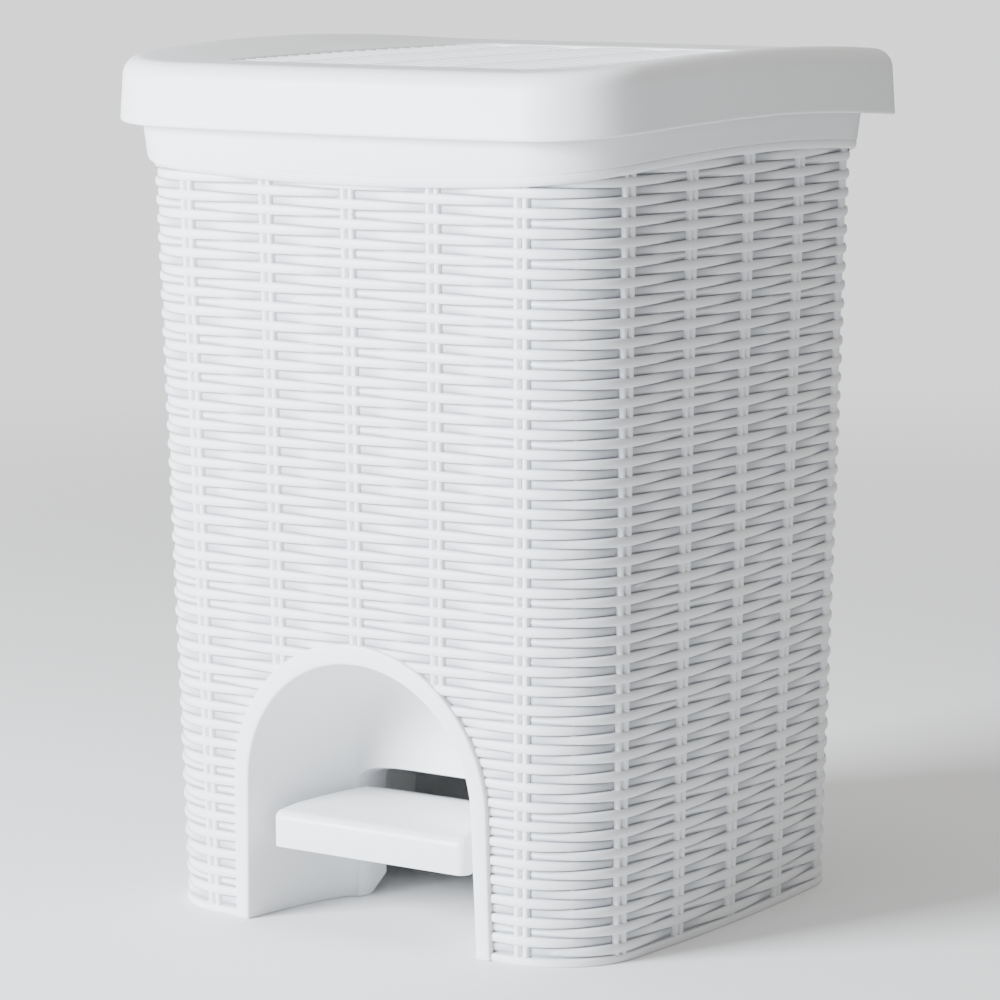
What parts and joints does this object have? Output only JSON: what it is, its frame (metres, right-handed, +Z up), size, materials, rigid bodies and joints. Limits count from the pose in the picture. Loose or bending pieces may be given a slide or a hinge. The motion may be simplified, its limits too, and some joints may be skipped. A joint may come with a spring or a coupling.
{
  "type": "pedal bin",
  "caption": "Household pedal bin with a wicker-look tapered casing, overhanging lid, arched pedal recess, lift-out bucket and a push-rod lid opener.",
  "frame": {"origin": "on the floor, under the middle of the whole bin's outline", "axes": "+Z up, -Y towards the front with the pedal, +X to the viewer's right when facing the front"},
  "size_m": [0.326, 0.3198, 0.4443],
  "materials": {
    "white_plastic": "white moulded polypropylene, satin",
    "inner_plastic": "white moulded polypropylene, satin",
    "bucket_plastic": "light grey moulded polypropylene, satin",
    "rod_plastic": "grey moulded plastic, satin",
    "steel": "bright zinc-plated wire",
    "screw_steel": "zinc-plated"
  },
  "bodies": {
    "casing": {"body_shell": "white_plastic", "pedal_niche": "white_plastic", "base_tray": "inner_plastic", "top_collar": "white_plastic", "inner_bucket": "bucket_plastic", "rod_guide_upper": "inner_plastic", "rod_guide_lower": "inner_plastic", "pedal_pivot_pin": "steel", "pivot_clip_left": "steel", "pivot_clip_right": "steel", "hinge_pin_left": "steel", "hinge_pin_right": "steel", "niche_screw_left": "screw_steel", "niche_screw_right": "screw_steel", "guide_screw_left": "screw_steel", "guide_screw_right": "screw_steel"},
    "lid": {"lid_shell": "white_plastic", "lid_hinge_bracket": "inner_plastic", "bracket_screw_left": "screw_steel", "bracket_screw_right": "screw_steel"},
    "pedal": {"pedal": "white_plastic"},
    "rod": {"push_rod": "steel", "rod_cap": "rod_plastic", "rod_foot": "rod_plastic"},
    "bail": {"bail_handle": "steel", "handle_grip": "inner_plastic"}
  },
  "joints": [
    {"name": "lid_hinge", "type": "hinge", "parent": "casing", "child": "lid", "pos_m": [0, 0.14285, 0.406], "axis": [-1, 0, 0], "range_deg": [0, 65]},
    {"name": "pedal_pivot", "type": "hinge", "parent": "casing", "child": "pedal", "pos_m": [0, -0.02245, 0.034], "axis": [1, 0, 0], "range_deg": [0, 15.01]},
    {"name": "push_rod_slide", "type": "slide", "parent": "casing", "child": "rod", "axis": [0, 0, 1], "range_m": [0, 0.0364]},
    {"name": "bail_hinge", "type": "hinge", "parent": "casing", "child": "bail", "pos_m": [0, -0.02115, 0.39], "axis": [-1, 0, 0], "range_deg": [0, 20]}
  ],
  "couplings": [
    {"joint": "pedal_pivot", "follows": "lid_hinge", "ratio": 0.23077},
    {"joint": "push_rod_slide", "follows": "lid_hinge", "m_per_rad": 0.032009}
  ]
}
